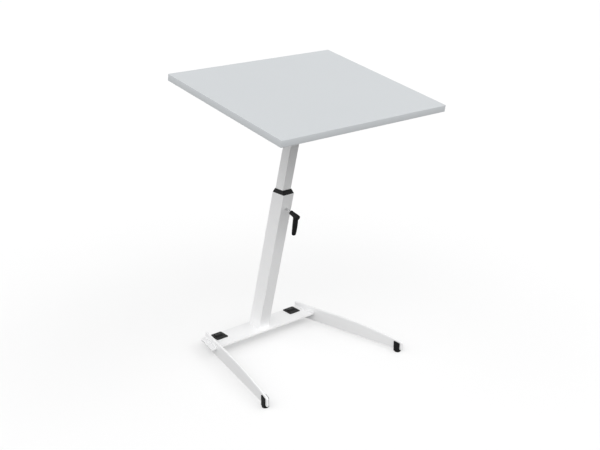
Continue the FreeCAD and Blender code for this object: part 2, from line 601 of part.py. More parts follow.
def leg_front_edge(edge, front):
    """The two upright edges of a leg's nose."""
    if not isinstance(edge.Curve, Part.Line):
        return False
    upright = abs(abs(edge.Curve.Direction.z) - 1) < 1e-6
    return upright and abs(edge.CenterOfMass.y - front) < 1e-3


def leg_frame(side):
    return at("%d*leg_rear_x" % side, "leg_rear_y", 0, "rotation(vector(0; 0; 1); %d*leg_splay)" % side)


def make_glide(side):
    """Black shoe that wraps a leg's tip, and the disc pressed into its foot."""
    name = "left" if side < 0 else "right"
    top_drop = "shoe_length*0.14"
    shoe = pad_body("shoe_" + name, "YZ_Plane",
                    [("-shoe_from - shoe_length", "glide_thick"), ("-shoe_from", "glide_thick"),
                     ("-shoe_from", "shoe_height"), ("-shoe_from - shoe_length", "shoe_height - " + top_drop)],
                    "leg_thick + 2*shoe_wall")
    round_body(shoe, "shoe_edges_" + name, 1.5, lambda edge: abs(edge.tangentAt(edge.FirstParameter).x) < 0.5
               and edge.CenterOfMass.z > size("glide_thick") + 1)
    groove = box("shoe_groove_" + name, "leg_thick + 2*fit_gap", "shoe_length + 20", 80, 0,
                 "-shoe_from - shoe_length/2", "leg_bottom")
    stem_hole = rod("shoe_hole_" + name, "4 + running_gap", 7, 0, "-shoe_from - shoe_length/2", "glide_thick - 1")
    node(cut("shoe_" + name, shoe, groove, stem_hole), "glide_shoe_" + name, leg_frame(side))
    disc = rod("disc_" + name, "glide_radius", "glide_thick", 0, "-shoe_from - shoe_length/2", 0)
    stem = rod("disc_stem_" + name, 4, 5.5, 0, "-shoe_from - shoe_length/2", "glide_thick")
    node(fuse("disc_" + name, disc, stem), "glide_disc_" + name, leg_frame(side))


def castor_window_x():
    return "wheel_width + 2*side_gap + 2*cheek_thick + 2*fit_gap"


def castor_window_y():
    return "2*wheel_radius + 2"


def make_castor(side):
    """Castor let into the plate from above: a capped housing, an axle, a hub and a tyre."""
    name = "left" if side < 0 else "right"
    frame = at("%d*castor_x" % side, "castor_y", 0)
    cap = box("cap_" + name, "castor_cap", "castor_cap", "cap_thick", 0, 0, "plate_top")
    cap = round_edges("cap_round_" + name, cap, size("cap_corner"), along_axis(2))
    crown = cross_rod("crown_" + name, "wheel_radius + 5.5", "wheel_width + 8", 4, "plate_top + cap_thick + cap_crown"
                      " - wheel_radius - 5.5")
    above = box("crown_limit_" + name, 200, 200, 200, 0, 0, "plate_top + 1")
    dome = doc.addObject("Part::Common", "dome_" + name)
    dome.Base, dome.Tool = crown, above
    pieces = [cap, dome]
    for cheek in (-1, 1):
        pieces.append(box("cheek_%s_%s" % (name, "left" if cheek < 0 else "right"), "cheek_thick",
                          "2*wheel_radius - 8", "plate_top - wheel_radius + 7",
                          "%d*(wheel_width/2 + side_gap + cheek_thick/2)" % cheek, 0, "wheel_radius - 7"))
    bore = cross_rod("cheek_bore_" + name, "axle_radius + running_gap", 100, 0, "wheel_radius")
    node(cut("housing_" + name, fuse("housing_" + name, *pieces), bore), "castor_housing_" + name, frame)
    node(cross_rod("axle_bar_" + name, "axle_radius", "wheel_width + 2*side_gap + 2*cheek_thick", 0, "wheel_radius"),
         "castor_axle_" + name, frame)
    hub = cross_rod("hub_" + name, "hub_share*wheel_radius", "wheel_width", 0, "wheel_radius")
    hub_bore = cross_rod("hub_bore_" + name, "axle_radius + running_gap", 100, 0, "wheel_radius")
    node(cut("hub_" + name, hub, hub_bore), "castor_hub_" + name, frame)
    tyre = cross_rod("tyre_" + name, "wheel_radius", "wheel_width", 0, "wheel_radius")
    tyre = round_edges("tyre_round_" + name, tyre, 2, lambda edge: isinstance(edge.Curve, Part.Circle))
    tyre_bore = cross_rod("tyre_bore_" + name, "hub_share*wheel_radius", 100, 0, "wheel_radius")
    node(cut("tyre_" + name, tyre, tyre_bore), "castor_tyre_" + name, frame)


make_board()
make_bracket()
make_board_screws()
make_pivot()
make_outer_tube()
make_collar()
make_inner_tube()
make_lower_guide()
make_head()
make_gas_spring()
make_foot_block()
make_base_screws()
make_lever()
make_plate()
for hand in (-1, 1):
    make_leg(hand)
    make_glide(hand)
    make_castor(hand)

doc.recompute()

for item in doc.Objects:
    if "Invalid" in item.State or "Error" in item.State:
        raise RuntimeError("%s did not recompute: %s" % (item.Name, item.State))
for item in nodes:
    if item.Shape.isNull() or not item.Shape.isValid() or not item.Shape.Solids:
        raise RuntimeError("%s has no valid solid" % item.Label)

os.makedirs("parts", exist_ok=True)
for item in nodes:
    item.Shape.exportStep("parts/%s.step" % item.Label)
    bounds = item.Shape.BoundBox
    print("%-22s %2d solid(s) %10.0f mm3  x %7.1f..%7.1f  y %7.1f..%7.1f  z %7.1f..%7.1f" % (
        item.Label, len(item.Shape.Solids), item.Shape.Volume, bounds.XMin, bounds.XMax, bounds.YMin, bounds.YMax,
        bounds.ZMin, bounds.ZMax))
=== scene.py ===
import json
from math import cos, pi, radians, sin, tan

import bmesh
import bpy
from mathutils import Matrix, Vector


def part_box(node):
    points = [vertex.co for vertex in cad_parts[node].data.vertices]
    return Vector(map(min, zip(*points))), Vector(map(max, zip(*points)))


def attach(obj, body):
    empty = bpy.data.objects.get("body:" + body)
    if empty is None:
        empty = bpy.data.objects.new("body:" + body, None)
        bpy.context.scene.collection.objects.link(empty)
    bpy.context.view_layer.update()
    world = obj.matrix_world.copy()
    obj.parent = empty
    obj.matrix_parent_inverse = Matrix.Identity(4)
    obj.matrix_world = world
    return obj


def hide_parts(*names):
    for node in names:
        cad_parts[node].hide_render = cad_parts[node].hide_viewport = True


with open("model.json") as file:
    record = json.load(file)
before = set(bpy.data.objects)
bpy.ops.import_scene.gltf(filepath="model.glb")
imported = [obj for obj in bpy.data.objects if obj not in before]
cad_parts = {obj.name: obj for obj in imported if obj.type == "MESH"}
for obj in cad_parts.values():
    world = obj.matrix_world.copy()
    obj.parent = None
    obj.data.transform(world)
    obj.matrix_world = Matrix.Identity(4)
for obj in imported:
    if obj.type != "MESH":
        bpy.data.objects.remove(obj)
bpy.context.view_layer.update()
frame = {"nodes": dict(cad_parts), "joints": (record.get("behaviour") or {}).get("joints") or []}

# ---------------------------------------------------------------- cross plate
# One 6 mm steel plate ties the legs together and carries the column and the castors.  It is laser cut, its
# corners are rounded, and it has the same white powder coat as the legs and the tubes.


class Wire:
    """One output of a node.  +, - and * between wires or with numbers add Math nodes to its tree."""

    def __init__(self, bench, socket):
        self.bench, self.socket = bench, socket

    def joined(self, operation, first, second):
        return self.bench.add("ShaderNodeMath", {"operation": operation}, [first, second])

    def __add__(self, other):
        return self.joined("ADD", self, other)

    def __radd__(self, other):
        return self.joined("ADD", other, self)

    def __sub__(self, other):
        return self.joined("SUBTRACT", self, other)

    def __rsub__(self, other):
        return self.joined("SUBTRACT", other, self)

    def __mul__(self, other):
        return self.joined("MULTIPLY", self, other)

    def __rmul__(self, other):
        return self.joined("MULTIPLY", other, self)

    def output(self, name):
        return Wire(self.bench, self.socket.node.outputs[name])


class Bench:
    """A node tree being wired up."""

    def __init__(self, tree):
        self.tree = tree

    def add(self, kind, settings=None, sockets=(), out=0):
        """Add a node: its settings first, then the values or wires of its sockets."""
        node = self.tree.nodes.new(kind)
        for key, value in (settings or {}).items():
            if key == "stops":
                ramp = node.color_ramp
                for element, (place, color) in zip((ramp.elements[0], ramp.elements[1]), value):
                    element.position, element.color = place, color
                for place, color in value[2:]:
                    ramp.elements.new(place).color = color
            else:
                setattr(node, key, value)
        for slot, value in (sockets.items() if isinstance(sockets, dict) else enumerate(sockets)):
            if isinstance(value, Wire):
                self.tree.links.new(value.socket, node.inputs[slot])
            elif value is not None:
                node.inputs[slot].default_value = value
        return Wire(self, node.outputs[out] if len(node.outputs) else None)


class Finish(Bench):
    """A material: one Principled shader, its constants on its own sockets, and the wires that vary it."""

    def __init__(self, name, color, roughness, **shader):
        self.material = bpy.data.materials.new(name)
        self.material.use_nodes = True
        super().__init__(self.material.node_tree)
        self.tree.nodes.clear()
        self.shader = self.add("ShaderNodeBsdfPrincipled", None,
                               {"Base Color": (*color, 1), "Roughness": roughness})
        self.add("ShaderNodeOutputMaterial", None, {"Surface": self.shader})
        for socket, value in shader.items():
            self.shader.socket.node.inputs[socket.replace("_", " ")].default_value = value
        self.material.diffuse_color = (*color, 1)
        self.place = self.add("ShaderNodeTexCoord", out="Object")

    def drive(self, socket, wire):
        self.tree.links.new(wire.socket, self.shader.socket.node.inputs[socket])

    def stretched(self, scale, turn=(0, 0, 0)):
        return self.add("ShaderNodeMapping", None, {"Vector": self.place, "Scale": scale, "Rotation": turn})

    def noise(self, scale, detail, roughness=0.5, at=None):
        return self.add("ShaderNodeTexNoise", None, {
            "Vector": at or self.place, "Scale": scale, "Detail": detail, "Roughness": roughness})

    def cells(self, scale):
        return self.add("ShaderNodeTexVoronoi", {"feature": "F1"}, {"Vector": self.place, "Scale": scale})

    def shade(self, wire, dark, light):
        """A colour between dark and light, by a wire that runs from 0 to 1."""
        # a Mix node's colour sockets, by number, because they share their names with its other kinds
        factor, first, second, mixed = 0, 6, 7, 2
        return self.add("ShaderNodeMix", {"data_type": "RGBA"},
                        {factor: wire, first: (*dark, 1), second: (*light, 1)}, out=mixed)

    def relief(self, height, depth):
        """Bumps as deep as depth, in metres, by a wire that runs from 0 to 1."""
        return self.add("ShaderNodeBump", None, {"Height": height, "Distance": depth, "Strength": 1.0})


def white_powder_coat():
    """Fine orange peel about 1.5 mm across, under a satin gloss that handling has made slightly uneven."""
    coat = Finish("white powder coat", (0.82, 0.822, 0.825), 0.4, IOR=1.5)
    clouds = coat.noise(5.0, 3.0)
    peel = coat.noise(620.0, 2.5, 0.45)
    grit = coat.noise(2600.0, 1.0)
    coat.drive("Base Color", coat.shade(clouds, (0.805, 0.808, 0.812), (0.835, 0.836, 0.838)))
    coat.drive("Roughness", 0.32 + 0.1 * coat.noise(38.0, 4.0, 0.6) + 0.08 * peel)
    coat.drive("Normal", coat.relief(peel * 0.85 + grit * 0.15, 0.00006))
    return coat.material


def settled(piece):
    """Turn a piece with live modifiers into a plain mesh."""
    bpy.context.view_layer.update()
    finished = piece.evaluated_get(bpy.context.evaluated_depsgraph_get())
    shape = bpy.data.meshes.new_from_object(finished)
    piece.modifiers.clear()
    piece.data = shape
    return piece


def fitted(piece, finish, body, slot, *stands_for):
    """Give a finished piece its material and its place among the desk's moving bodies."""
    piece.data.materials.clear()
    piece.data.materials.append(finish)
    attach(piece, body)
    if stands_for:
        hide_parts(*stands_for)


def bare_piece(name, mesh):
    """A new object at the origin that has no material and rides on nothing yet."""
    piece = bpy.data.objects.new(name, mesh)
    bpy.context.scene.collection.objects.link(piece)
    return piece


def edge_rounded(name, node, radius):
    """The node's own shape with its sharp edges rounded over, as blasting, coating or a mould leaves them."""
    touching, flat, sharp, segments = 0.00001, radians(1.0), radians(40), 3
    shape = bmesh.new()
    shape.from_mesh(frame["nodes"][node].data)
    bmesh.ops.remove_doubles(shape, verts=shape.verts, dist=touching)
    bmesh.ops.dissolve_limit(shape, angle_limit=flat, verts=shape.verts, edges=shape.edges)
    mesh = bpy.data.meshes.new(name)
    shape.to_mesh(mesh)
    shape.free()
    mesh.shade_smooth()
    piece = bare_piece(name, mesh)
    bevel = piece.modifiers.new("round", "BEVEL")
    bevel.width, bevel.segments, bevel.miter_outer = radius, segments, "MITER_ARC"
    bevel.limit_method, bevel.angle_limit = "ANGLE", sharp
    weigh = piece.modifiers.new("weigh", "WEIGHTED_NORMAL")
    weigh.keep_sharp = False
    return settled(piece)


white_coat = white_powder_coat()
fitted(edge_rounded("plate", "cross_plate", 0.0006), white_coat, "base", "white_powder", "cross_plate")

# ---------------------------------------------------------------- column screws
# Four M6 cap screws with hex sockets, zinc plated, come up through the plate into the block in the column's
# foot.


class Recipe(Bench):
    """A Geometry Nodes tree with named sizes.  It grows pieces on the points of a mesh."""

    def __init__(self, name, **sizes):
        tree = bpy.data.node_groups.new(name, "GeometryNodeTree")
        super().__init__(tree)
        tree.interface.new_socket("Geometry", in_out="INPUT", socket_type="NodeSocketGeometry")
        tree.interface.new_socket("Geometry", in_out="OUTPUT", socket_type="NodeSocketGeometry")
        self.sizes, self.keys = sizes, {}
        for label in sizes:
            socket = tree.interface.new_socket(label, in_out="INPUT", socket_type="NodeSocketFloat")
            self.keys[label] = socket.identifier
        self.points = self.add("NodeGroupInput")

    def size(self, label):
        return self.points.output(label)

    def lifted(self, geometry, height):
        """A shape moved along Z."""
        lift = self.add("ShaderNodeCombineXYZ", None, {"Z": height})
        return self.add("GeometryNodeTransform", None, {"Geometry": geometry, "Translation": lift})

    def grown(self, name, shape, finish, points, place):
        """Put the shape on every point, and leave one plain mesh."""
        copies = self.add("GeometryNodeInstanceOnPoints", None, {"Points": self.points, "Instance": shape})
        whole = self.add("GeometryNodeRealizeInstances", None, [copies])
        coated = self.add("GeometryNodeSetMaterial", None, {"Geometry": whole, "Material": finish})
        self.add("NodeGroupOutput", None, [coated])
        mesh = bpy.data.meshes.new(name)
        mesh.from_pydata(points, [], [])
        piece = bare_piece(name, mesh)
        modifier = piece.modifiers.new("grow", "NODES")
        modifier.node_group = self.tree
        for label, value in self.sizes.items():
            modifier[self.keys[label]] = value
        settled(piece)
        piece.data.transform(place)
        smooth_below(piece.data, 35)
        return piece


def smooth_below(mesh, degrees):
    """Shade a mesh smooth, but for the edges that turn by more than some degrees."""
    mesh.shade_smooth()
    mesh.set_sharp_from_angle(angle=radians(degrees))


def screws(name, finish, points, place, **sizes):
    """Cap screws: a shank, a head with a chamfered rim, and a socket sunk in the head."""
    recipe = Recipe(name, **sizes)
    length, head_radius = recipe.size("Length"), recipe.size("Head radius")
    head_height = recipe.size("Head height")
    plain_share, rim_share, narrowing, overlap, socket_share = 0.7, 0.3, 0.84, 0.0006, 1.2
    shank = recipe.add("GeometryNodeMeshCylinder", None, {
        "Vertices": 24, "Radius": recipe.size("Shank radius"), "Depth": length + overlap})
    head = recipe.add("GeometryNodeMeshCylinder", None, {
        "Vertices": 36, "Radius": head_radius, "Depth": head_height * plain_share})
    rim = recipe.add("GeometryNodeMeshCone", None, {
        "Vertices": 36, "Radius Top": head_radius, "Radius Bottom": head_radius * narrowing,
        "Depth": head_height * rim_share})
    socket = recipe.add("GeometryNodeMeshCylinder", None, {
        "Vertices": 6, "Radius": recipe.size("Socket radius"), "Depth": head_height * socket_share})
    solid = recipe.add("GeometryNodeMeshBoolean", {"operation": "UNION", "solver": "EXACT"})
    for part in (recipe.lifted(shank, length * 0.5 - overlap / 2),
                 recipe.lifted(head, head_height * (plain_share * -0.5)),
                 recipe.lifted(rim, head_height * -1.0)):
        recipe.tree.links.new(part.socket, solid.socket.node.inputs["Mesh 2"])
    sunk = recipe.add("GeometryNodeMeshBoolean", {"operation": "DIFFERENCE", "solver": "EXACT"},
                      {"Mesh 1": solid, "Mesh 2": recipe.lifted(socket, head_height * -1.0)})
    return recipe.grown(name, sunk, finish, points, place)


def zinc_plating():
    """Bright zinc: a cool grey metal with a faint cloudy crystal pattern and light rolling scratches."""
    zinc = Finish("zinc plating", (0.6, 0.61, 0.62), 0.35, Metallic=1.0)
    crystals = zinc.cells(700.0)
    scratches = zinc.noise(60.0, 4.0, 0.7, zinc.stretched((1.0, 1.0, 30.0)))
    zinc.drive("Base Color", zinc.shade(crystals, (0.5, 0.51, 0.52), (0.68, 0.69, 0.7)))
    zinc.drive("Roughness", 0.25 + 0.2 * scratches)
    zinc.drive("Normal", zinc.relief(scratches * 0.5 + crystals * 0.5, 0.00002))
    return zinc.material


zinc = zinc_plating()
cap_radius, cap_height = 0.0054, 0.004
foot_low, foot_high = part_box("column_screws")
screw_x = (foot_low.x + cap_radius, foot_high.x - cap_radius)
screw_y = (foot_low.y + cap_radius, foot_high.y - cap_radius)
under_plate = [(x, y, foot_low.z + cap_height) for x in screw_x for y in screw_y]
column_screws = screws("column_screw_set", zinc, under_plate, Matrix(), **{
    "Shank radius": 0.003, "Length": 0.022, "Head radius": cap_radius, "Head height": cap_height,
    "Socket radius": 0.0027})
fitted(column_screws, zinc, "base", "zinc_steel", "column_screws")

# ---------------------------------------------------------------- legs
# Two 9 mm flat bars on edge, slotted over the plate's ends.  Each is plasma cut to a long shallow arch with a
# rounded nose, ground, and coated with the plate.

for side in ("left", "right"):
    fitted(edge_rounded("leg_bar_" + side, "leg_" + side, 0.0008), white_coat, "base", "white_powder",
           "leg_" + side)

# ---------------------------------------------------------------- glides
# A moulded black shoe is pushed over each leg's tip, and a hard disc that slides on the floor is pressed into
# it from below.


def black_moulding(name, grain):
    """Spark-eroded grain about 1 mm across, a little shinier where hands and floors polish it."""
    plastic = Finish(name, (0.009, 0.009, 0.0095), 0.5, IOR=1.45, Specular_IOR_Level=0.2)
    pits = plastic.cells(grain)
    fine = plastic.noise(grain * 2.6, 2.0)
    patches = plastic.noise(30.0, 3.0)
    plastic.drive("Base Color", plastic.shade(patches, (0.007, 0.007, 0.0074), (0.012, 0.012, 0.0125)))
    plastic.drive("Roughness", 0.38 + 0.14 * pits + 0.1 * patches)
    plastic.drive("Normal", plastic.relief(pits * 0.7 + fine * 0.3, 0.00005))
    return plastic.material


black_plastic = black_moulding("black moulded plastic", 900.0)
glide_nylon = black_moulding("hard black nylon", 2200.0)
for side in ("left", "right"):
    fitted(edge_rounded("shoe_" + side, "glide_shoe_" + side, 0.0009), black_plastic, "base", "black_plastic",
           "glide_shoe_" + side)
    fitted(edge_rounded("disc_" + side, "glide_disc_" + side, 0.0007), glide_nylon, "base", "glide_nylon",
           "glide_disc_" + side)

# ---------------------------------------------------------------- castors
# Each castor drops into a window in the plate: a black moulded housing with a crowned cap, a steel axle, and
# a spoked nylon hub with a soft grooved tread.


def turned(name, profile, place, steps=64):
    """A closed profile of (radius, height) points spun round the Z axis."""
    touching = 1e-7
    shape = bmesh.new()
    rings = []
    for i in range(steps):
        angle = 2 * pi * i / steps
        rings.append([shape.verts.new((r * cos(angle), r * sin(angle), h)) for r, h in profile])
    for i, ring in enumerate(rings):
        after = rings[(i + 1) % steps]
        for j in range(len(profile)):
            k = (j + 1) % len(profile)
            shape.faces.new((ring[j], after[j], after[k], ring[k]))
    bmesh.ops.remove_doubles(shape, verts=shape.verts, dist=touching)
    bmesh.ops.dissolve_degenerate(shape, edges=shape.edges, dist=touching)
    bmesh.ops.recalc_face_normals(shape, faces=shape.faces)
    mesh = bpy.data.meshes.new(name)
    shape.to_mesh(mesh)
    shape.free()
    mesh.transform(place)
    smooth_below(mesh, 35)
    return bare_piece(name, mesh)


def arc(centre_r, centre_h, radius, start, end, steps=5):
    """Points of a round corner in a profile, by its start and end angle in degrees."""
    angles = [radians(start + (end - start) * i / steps) for i in range(steps + 1)]
    return [(centre_r + radius * cos(a), centre_h + radius * sin(a)) for a in angles]


def joined_pieces(name, pieces):
    """One new bare piece that holds the meshes of several, which are taken away."""
    shape = bmesh.new()
    for piece in pieces:
        shape.from_mesh(piece.data)
    mesh = bpy.data.meshes.new(name)
    shape.to_mesh(mesh)
    shape.free()
    for piece in pieces:
        bpy.data.objects.remove(piece)
    smooth_below(mesh, 35)
    return bare_piece(name, mesh)


def joint_spot(name):
    """Where a joint's axis stands."""
    return Vector(next(joint["pos_m"] for joint in frame["joints"] if joint["name"] == name))


def soft_tread():
    """Grey-black soft rubber, dull, with a fine bloom."""
    rubber = Finish("soft rubber tread", (0.032, 0.032, 0.033), 0.8, IOR=1.5)
    bloom = rubber.noise(160.0, 4.0, 0.6)
    rubber.drive("Base Color", rubber.shade(bloom, (0.025, 0.025, 0.026), (0.045, 0.045, 0.046)))
    rubber.drive("Roughness", 0.7 + 0.2 * bloom)
    rubber.drive("Normal", rubber.relief(rubber.noise(1500.0, 2.0), 0.00004))
    return rubber.material


def bright_steel_rod():
    """Ground and plated steel with faint turning marks round the bar."""
    steel = Finish("bright ground steel", (0.66, 0.665, 0.67), 0.2, Metallic=1.0)
    marks = steel.noise(300.0, 3.0, 0.6, steel.stretched((1.0, 8.0, 8.0)))
    steel.drive("Base Color", steel.shade(marks, (0.6, 0.605, 0.61), (0.72, 0.725, 0.73)))
    steel.drive("Roughness", 0.14 + 0.16 * marks)
    steel.drive("Normal", steel.relief(marks, 0.00001))
    return steel.material


rubber_tread = soft_tread()
wheel_nylon = black_moulding("black wheel nylon", 1500.0)
bright_steel = bright_steel_rod()
wheel_half, wheel_radius, hub_radius, axle_hole = 0.009, 0.02, 0.014, 0.00305
shoulder, groove_floor = 0.002, wheel_radius - 0.0006
tread_profile = (arc(wheel_radius - shoulder, wheel_half - shoulder, shoulder, 90, 0)
                 + [(wheel_radius, 0.0035), (groove_floor, 0.003), (groove_floor, 0.0022),
                    (wheel_radius, 0.0017), (wheel_radius, -0.0017), (groove_floor, -0.0022),
                    (groove_floor, -0.003), (wheel_radius, -0.0035)]
                 + arc(wheel_radius - shoulder, shoulder - wheel_half, shoulder, 0, -90)
                 + [(hub_radius, -wheel_half), (hub_radius, wheel_half)])
boss_radius, rim_inside, web_half = 0.0056, hub_radius - 0.002, 0.0012
dished_face = [(boss_radius - 0.0004, wheel_half), (boss_radius, wheel_half - 0.0008),
               (boss_radius, web_half), (rim_inside, web_half), (hub_radius - 0.0018, wheel_half - 0.0003)]
rim_profile = ([(hub_radius, wheel_half), (hub_radius, -wheel_half)]
               + [(radius, -height) for radius, height in reversed(dished_face)]
               + [(axle_hole, -wheel_half), (axle_hole, wheel_half)] + dished_face)
for side in ("left", "right"):
    axle_spot = Matrix.Translation(joint_spot("castor_roll_" + side))
    axle_place = axle_spot @ Matrix.Rotation(radians(90), 4, "Y")
    fitted(turned("tread_" + side, tread_profile, axle_place), rubber_tread, "castor_wheel_" + side,
           "wheel_rubber", "castor_tyre_" + side)

    spokes = Recipe("spokes_" + side, **{"Spoke length": 0.0068, "Spoke depth": 0.0166,
                                         "Spoke thickness": 0.0012, "Ring radius": 0.0088})
    blade_size = spokes.add("ShaderNodeCombineXYZ", None, {
        "X": spokes.size("Spoke length"), "Y": spokes.size("Spoke thickness"),
        "Z": spokes.size("Spoke depth")})
    blade = spokes.add("GeometryNodeMeshCube", None, {"Size": blade_size})
    ring = spokes.add("GeometryNodeMeshCircle", None, {"Vertices": 8, "Radius": spokes.size("Ring radius")})
    spot = spokes.add("GeometryNodeInputPosition")
    heading = spokes.add("FunctionNodeAlignRotationToVector", {"axis": "X"}, {"Vector": spot})
    fan = spokes.add("GeometryNodeInstanceOnPoints", None,
                     {"Points": ring, "Instance": blade, "Rotation": heading})
    blades = spokes.grown("blades_" + side, fan, wheel_nylon, [(0, 0, 0)], axle_place)
    hub = joined_pieces("hub_" + side, [turned("rim_" + side, rim_profile, axle_place), blades])
    fitted(hub, wheel_nylon, "castor_wheel_" + side, "wheel_nylon", "castor_hub_" + side)

    fitted(edge_rounded("castor_cap_" + side, "castor_housing_" + side, 0.0006), black_plastic, "base",
           "black_plastic", "castor_housing_" + side)
    frame["nodes"]["castor_axle_" + side].data.materials[0] = bright_steel

# ---------------------------------------------------------------- outer tube
# Rectangular steel tube, 48 by 60 mm, cut level at both ends and drawn down onto the plate by four screws.  A
# block in its foot, and a nut behind the lever's hole, take the threads.

frame["nodes"]["outer_tube"].data.materials[0] = white_coat
frame["nodes"]["foot_block"].data.materials[0] = zinc
frame["nodes"]["weld_nut"].data.materials[0] = zinc

# ---------------------------------------------------------------- guide collar
# Black moulded collar in the mouth of the outer tube.  Its rim stands level on the tube and slopes in to the
# inner tube, and its skirt reaches down inside.


def rounded_loop(half_x, half_y, radius, z, centre_y=0.0, steps=6):
    """A level loop of points round a rectangle with rounded corners."""
    points = []
    for quadrant, (sx, sy) in enumerate(((1, 1), (-1, 1), (-1, -1), (1, -1))):
        for i in range(steps + 1):
            angle = (quadrant + i / steps) * pi / 2
            points.append((sx * (half_x - radius) + radius * cos(angle),
                           sy * (half_y - radius) + radius * sin(angle) + centre_y, z))
    return points


def ringed(name, loops, place):
    """A closed ring whose section runs through the loops in turn and back to the first."""
    shape = bmesh.new()
    rows = [[shape.verts.new(point) for point in loop] for loop in loops]
    for row, after in zip(rows, rows[1:] + rows[:1]):
        for j in range(len(row)):
            k = (j + 1) % len(row)
            shape.faces.new((row[j], row[k], after[k], after[j]))
    bmesh.ops.recalc_face_normals(shape, faces=shape.faces)
    mesh = bpy.data.meshes.new(name)
    shape.to_mesh(mesh)
    shape.free()
    mesh.transform(place)
    smooth_below(mesh, 35)
    return bare_piece(name, mesh)


lean, column_foot, tube_length = radians(15), Vector((0, 0.268, 0.045)), 0.592
column_place = Matrix.Translation(column_foot) @ Matrix.Rotation(lean, 4, "X")
mouth_place = column_place @ Matrix.Translation((0, 0, tube_length))
outer_half, inner_half, inner_setback = (0.024, 0.03), (0.0185, 0.02), 0.0045
rim_height, rim_land, slide_gap, soft_edge = 0.015, 0.0015, 0.0003, 0.0006
skirt_depth, skirt_inset = 0.034, 0.0026


def rim_loop(share, shrink=0.0):
    """A level loop of the rim, from the tube's edge at 0 to the small land round the inner tube at 1."""
    height = rim_height * share
    half_x = outer_half[0] + (inner_half[0] + rim_land - outer_half[0]) * share - shrink
    half_y = (outer_half[1] + (inner_half[1] - outer_half[1]) * share) / cos(lean) + rim_land * share - shrink
    middle = (inner_setback / cos(lean) - rim_height * tan(lean)) * share
    return [turn_level @ Vector(point) for point in rounded_loop(half_x, half_y, 0.002, height, middle)]


def sloped_loop(half_x, half_y, height, setback, radius=0.0018):
    """A loop round a tube, on the rim's level plane at a height, given by its sizes square to the tube."""
    points = []
    for x, y, z in rounded_loop(half_x, half_y, radius, 0.0, setback):
        points.append(Vector((x, y, height / cos(lean) - y * tan(lean))))
    return points


turn_level = Matrix.Rotation(-lean, 3, "X")
bore = (inner_half[0] + slide_gap, inner_half[1] + slide_gap)
skirt_half = (outer_half[0] - skirt_inset, outer_half[1] - skirt_inset)
collar_loops = [rim_loop(0.0), rim_loop(0.06), rim_loop(0.92), rim_loop(0.98, 0.0001),
                rim_loop(1.0, soft_edge),
                sloped_loop(bore[0] + 0.0003, bore[1] + 0.0003, rim_height, inner_setback),
                sloped_loop(*bore, rim_height - 0.0004, inner_setback),
                [Vector((x, y, -skirt_depth)) for x, y, z in rounded_loop(*bore, 0.0018, 0, inner_setback)],
                [Vector((x, y, -skirt_depth)) for x, y, z in rounded_loop(*skirt_half, 0.001, 0)],
                sloped_loop(*skirt_half, 0.0, 0.0, 0.001)]
collar = ringed("collar", collar_loops, mouth_place)
fitted(collar, black_plastic, "base", "black_plastic", "guide_collar")

# ---------------------------------------------------------------- inner tube
# The sliding mast, 37 by 40 mm, in the same white.  A black guide closes round its lower end, inside the
# column.

frame["nodes"]["inner_tube"].data.materials[0] = white_coat
frame["nodes"]["lower_guide"].data.materials[0] = black_plastic

# ---------------------------------------------------------------- gas spring
# It stands inside the column: a black painted cylinder hung from a cross pin in the mast, and a bright rod on
# a pin in the foot block.


def black_paint():
    """Semi-gloss black powder coat with a light orange peel."""
    paint = Finish("black powder coat", (0.02, 0.02, 0.021), 0.42, IOR=1.5)
    peel = paint.noise(600.0, 2.5)
    clouds = paint.noise(14.0, 3.0)
    paint.drive("Base Color", paint.shade(clouds, (0.017, 0.017, 0.018), (0.026, 0.026, 0.027)))
    paint.drive("Roughness", 0.36 + 0.14 * peel)
    paint.drive("Normal", paint.relief(peel, 0.00006))
    return paint.material


black_coat = black_paint()
frame["nodes"]["gas_spring_cylinder"].data.materials[0] = black_coat
frame["nodes"]["gas_spring_seal"].data.materials[0] = black_plastic
for node in ("gas_spring_rod", "upper_pin", "lower_pin"):
    frame["nodes"][node].data.materials[0] = bright_steel

# ---------------------------------------------------------------- clamping lever
# A bright stud comes out of the column's front.  A serrated steel insert is keyed to it, and over that goes a
# glass-filled nylon handle that hangs down the tube, held by a screw in its outer end.


def blended(name, parts, grain, passes):
    """Overlapping rough parts grown into one skin with soft inner corners, as a moulding has them."""
    whole = joined_pieces(name, parts)
    remesh = whole.modifiers.new("skin", "REMESH")
    remesh.mode, remesh.voxel_size, remesh.use_smooth_shade = "VOXEL", grain, True
    soften = whole.modifiers.new("soften", "SMOOTH")
    soften.factor, soften.iterations = 0.5, passes
    return settled(whole)


def drilled(piece, cutters):
    """Cut turned shapes out of a piece."""
    for cutter in cutters:
        hole = piece.modifiers.new("hole", "BOOLEAN")
        hole.operation, hole.object, hole.solver = "DIFFERENCE", cutter, "EXACT"
    settled(piece)
    for cutter in cutters:
        bpy.data.objects.remove(cutter)
    smooth_below(piece.data, 50)
    return piece


def arm(name, sections, place, steps=28):
    """A bar with oval sections across a bent centre line, each given as centre, direction and half sizes."""
    shape = bmesh.new()
    rows = []
    for centre, heading, half_wide, half_thick in sections:
        across, out = Vector((1, 0, 0)), heading.cross(Vector((1, 0, 0))).normalized()
        turns = [2 * pi * i / steps for i in range(steps)]
        rows.append([shape.verts.new(centre + across * half_wide * cos(turn) + out * half_thick * sin(turn))
                     for turn in turns])
    for row, after in zip(rows, rows[1:]):
        for j in range(steps):
            k = (j + 1) % steps
            shape.faces.new((row[j], row[k], after[k], after[j]))
    shape.faces.new(rows[0])
    shape.faces.new(list(reversed(rows[-1])))
    bmesh.ops.recalc_face_normals(shape, faces=shape.faces)
    mesh = bpy.data.meshes.new(name)
    shape.to_mesh(mesh)
    shape.free()
    mesh.transform(place)
    return bare_piece(name, mesh)


def plug(name, radius, low, high, place):
    """A plain round cutter along Z."""
    return turned(name, [(0, low), (radius, low), (radius, high), (0, high)], place)


